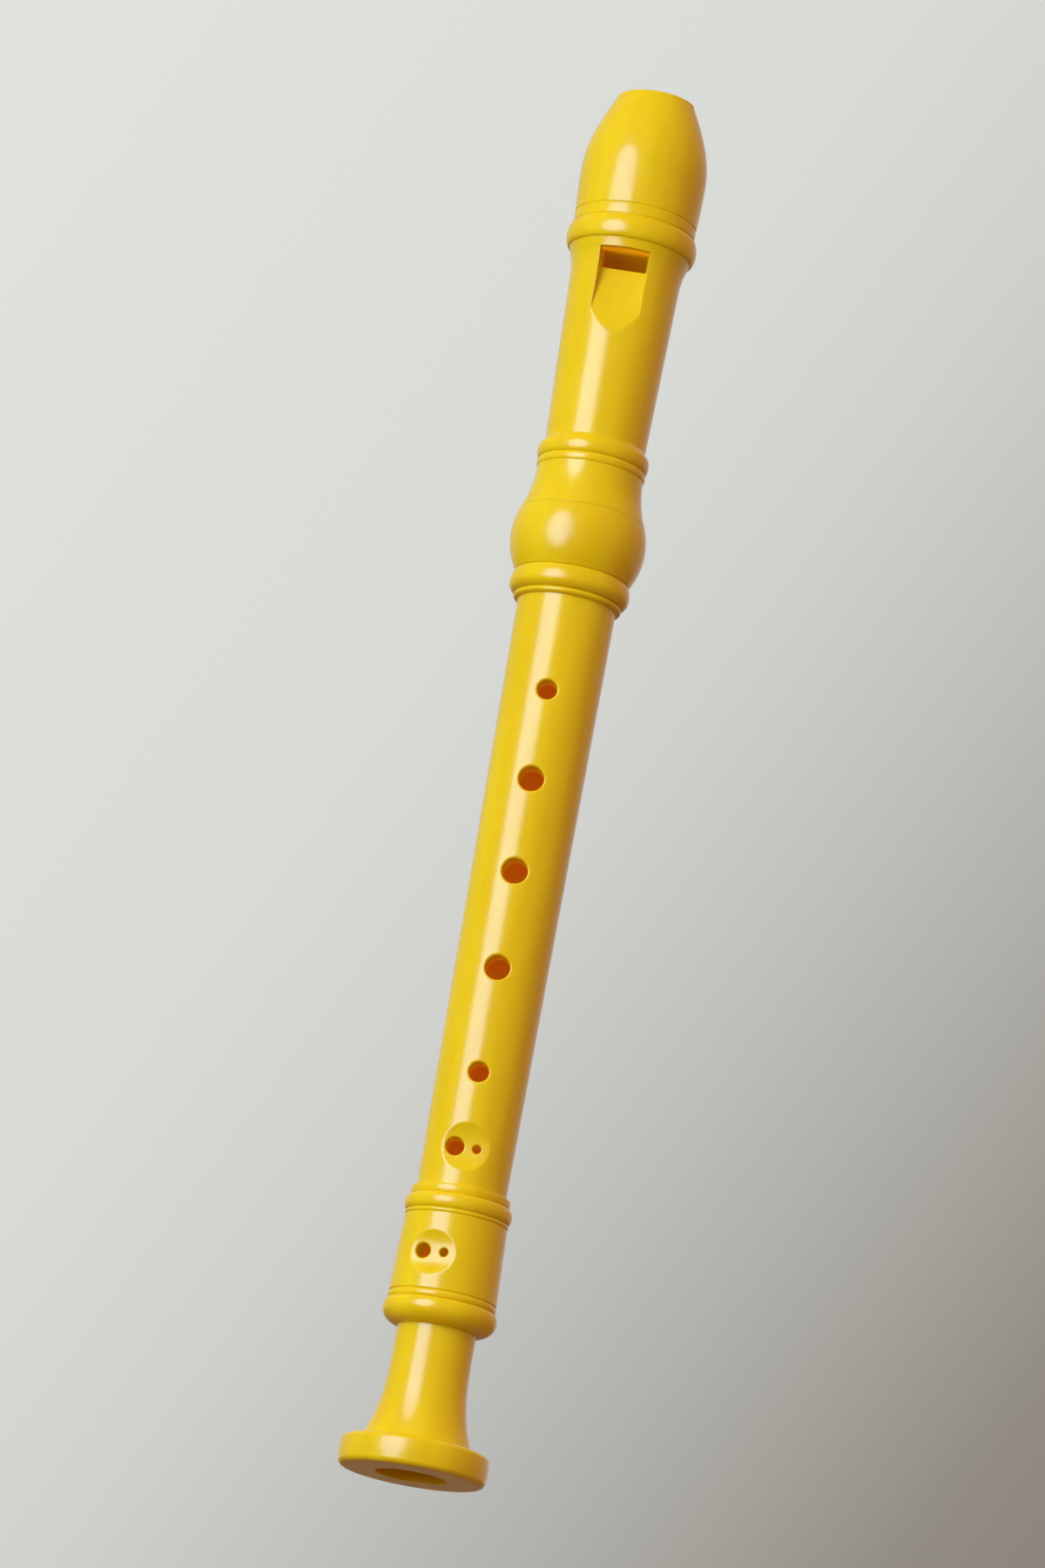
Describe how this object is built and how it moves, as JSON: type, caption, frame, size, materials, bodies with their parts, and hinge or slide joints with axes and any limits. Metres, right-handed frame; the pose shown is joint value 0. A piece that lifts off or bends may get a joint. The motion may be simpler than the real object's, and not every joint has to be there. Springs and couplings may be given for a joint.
{
  "type": "soprano recorder",
  "caption": "Soprano recorder of moulded plastic with a beak mouthpiece, a windowed head, a bulb, a fingered middle tube and a belled foot.",
  "frame": {"origin": "centre of the foot's flat lower face, on the surface that the recorder stands on", "axes": "+Z along the recorder's axis from the foot to the mouthpiece, finger holes facing -Y, thumb hole facing +Y"},
  "size_m": [0.034, 0.034, 0.33],
  "materials": {
    "shell": "satin-gloss moulded ABS, yellow"
  },
  "bodies": {
    "middle": {"middle_joint": "shell"},
    "head": {"head_tube": "shell", "socket_bulb": "shell", "block": "shell", "mouthpiece": "shell"},
    "foot": {"foot_joint": "shell"}
  },
  "joints": [
    {"name": "head_slide", "type": "slide", "parent": "middle", "child": "head", "axis": [0, 0, 1], "range_m": [0, 0.02]},
    {"name": "foot_twist", "type": "hinge", "parent": "middle", "child": "foot", "pos_m": [0, 0, 0.059], "axis": [0, 0, 1], "continuous": true}
  ]
}
